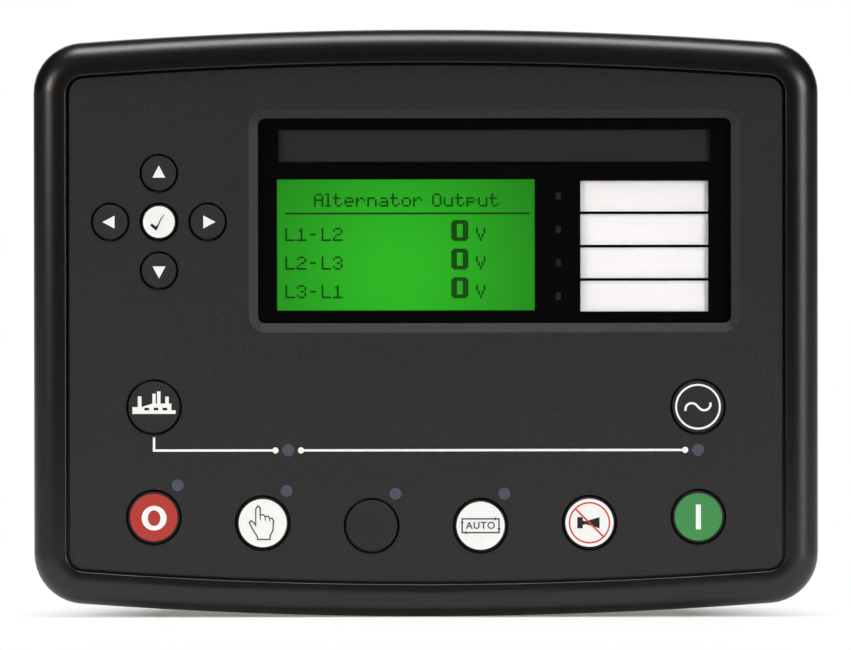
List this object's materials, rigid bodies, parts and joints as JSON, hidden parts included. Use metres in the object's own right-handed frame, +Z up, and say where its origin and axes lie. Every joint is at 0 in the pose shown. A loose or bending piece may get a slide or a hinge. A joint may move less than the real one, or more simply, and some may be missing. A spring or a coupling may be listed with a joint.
{
  "type": "panel-mounted generator set controller",
  "caption": "Flush panel controller for a generator set: crowned bezel, backlit display window, sprung round keys and plug-in terminals behind.",
  "frame": {"origin": "middle of the sealing face, on the front face of the panel that it is fitted to", "axes": "+X to the right as seen by the user, +Y into the panel, +Z up"},
  "size_m": [0.245, 0.051, 0.1834],
  "materials": {
    "bezel_plastic": "satin black moulding",
    "fascia_plastic": "fine textured dark grey moulding",
    "clear_window": "polished clear sheet",
    "mask_film": "black printed film",
    "carrier_plastic": "black moulding",
    "display_green": "backlit green display",
    "backlight_white": "diffuser",
    "bright_steel": "plated",
    "white_card": "plain white card",
    "dark_card": "plain dark card",
    "lens_grey": "smoked lens",
    "key_dark": "fine textured key",
    "key_white": "white printed key",
    "key_red": "red printed key",
    "key_green": "green printed key",
    "silicone": "moulded silicone",
    "board_green": "solder mask",
    "component_black": "moulded package",
    "led_clear": "clear package",
    "relay_blue": "moulded cover",
    "sleeve_dark": "shrink sleeve",
    "case_plastic": "fine textured black moulding",
    "terminal_green": "moulded terminal housing"
  },
  "bodies": {
    "housing": {"front_bezel": "bezel_plastic", "panel_gasket": "silicone", "fascia_panel": "fascia_plastic", "display_window": "clear_window", "window_mask": "mask_film", "display_carrier": "carrier_plastic", "lcd_glass": "display_green", "lcd_backlight": "backlight_white", "lcd_frame": "bright_steel", "label_card": "white_card", "header_card": "dark_card", "alarm_light_guides": "lens_grey", "mode_lenses": "lens_grey", "line_lenses": "lens_grey", "keypad_mat": "silicone", "key_switches": "component_black", "indicator_leds": "led_clear", "display_board": "board_green", "main_board": "board_green", "board_spacers": "bright_steel", "board_link": "component_black", "relays": "relay_blue", "capacitors": "sleeve_dark", "processor": "component_black", "clock_battery": "bright_steel", "battery_holder": "component_black", "sounder": "component_black", "rear_case": "case_plastic", "case_screws": "bright_steel", "board_screws": "bright_steel", "spacer_screws": "bright_steel", "terminal_screws": "bright_steel", "usb_socket": "bright_steel", "ethernet_socket": "bright_steel", "serial_socket": "bright_steel", "header_dc_supply": "terminal_green", "plug_dc_supply": "terminal_green", "header_sensors": "terminal_green", "plug_sensors": "terminal_green", "header_expansion": "terminal_green", "plug_expansion": "terminal_green", "header_data_link": "terminal_green", "plug_data_link": "terminal_green", "header_generator": "terminal_green", "plug_generator": "terminal_green", "header_inputs": "terminal_green", "plug_inputs": "terminal_green"},
    "key_up": {"key_up": "key_dark"},
    "key_down": {"key_down": "key_dark"},
    "key_left": {"key_left": "key_dark"},
    "key_right": {"key_right": "key_dark"},
    "key_accept": {"key_accept": "key_white"},
    "key_load": {"key_load": "key_dark"},
    "key_source": {"key_source": "key_dark"},
    "key_stop": {"key_stop": "key_red"},
    "key_manual": {"key_manual": "key_white"},
    "key_spare": {"key_spare": "key_dark"},
    "key_auto": {"key_auto": "key_white"},
    "key_mute": {"key_mute": "key_white"},
    "key_start": {"key_start": "key_green"}
  },
  "joints": [
    {"name": "press_up", "type": "slide", "parent": "housing", "child": "key_up", "axis": [0, 1, 0], "range_m": [0, 0.001], "stiffness_N_per_m": 1500},
    {"name": "press_down", "type": "slide", "parent": "housing", "child": "key_down", "axis": [0, 1, 0], "range_m": [0, 0.001], "stiffness_N_per_m": 1500},
    {"name": "press_left", "type": "slide", "parent": "housing", "child": "key_left", "axis": [0, 1, 0], "range_m": [0, 0.001], "stiffness_N_per_m": 1500},
    {"name": "press_right", "type": "slide", "parent": "housing", "child": "key_right", "axis": [0, 1, 0], "range_m": [0, 0.001], "stiffness_N_per_m": 1500},
    {"name": "press_accept", "type": "slide", "parent": "housing", "child": "key_accept", "axis": [0, 1, 0], "range_m": [0, 0.001], "stiffness_N_per_m": 1500},
    {"name": "press_load", "type": "slide", "parent": "housing", "child": "key_load", "axis": [0, 1, 0], "range_m": [0, 0.001], "stiffness_N_per_m": 1500},
    {"name": "press_source", "type": "slide", "parent": "housing", "child": "key_source", "axis": [0, 1, 0], "range_m": [0, 0.001], "stiffness_N_per_m": 1500},
    {"name": "press_stop", "type": "slide", "parent": "housing", "child": "key_stop", "axis": [0, 1, 0], "range_m": [0, 0.001], "stiffness_N_per_m": 1500},
    {"name": "press_manual", "type": "slide", "parent": "housing", "child": "key_manual", "axis": [0, 1, 0], "range_m": [0, 0.001], "stiffness_N_per_m": 1500},
    {"name": "press_spare", "type": "slide", "parent": "housing", "child": "key_spare", "axis": [0, 1, 0], "range_m": [0, 0.001], "stiffness_N_per_m": 1500},
    {"name": "press_auto", "type": "slide", "parent": "housing", "child": "key_auto", "axis": [0, 1, 0], "range_m": [0, 0.001], "stiffness_N_per_m": 1500},
    {"name": "press_mute", "type": "slide", "parent": "housing", "child": "key_mute", "axis": [0, 1, 0], "range_m": [0, 0.001], "stiffness_N_per_m": 1500},
    {"name": "press_start", "type": "slide", "parent": "housing", "child": "key_start", "axis": [0, 1, 0], "range_m": [0, 0.001], "stiffness_N_per_m": 1500}
  ]
}
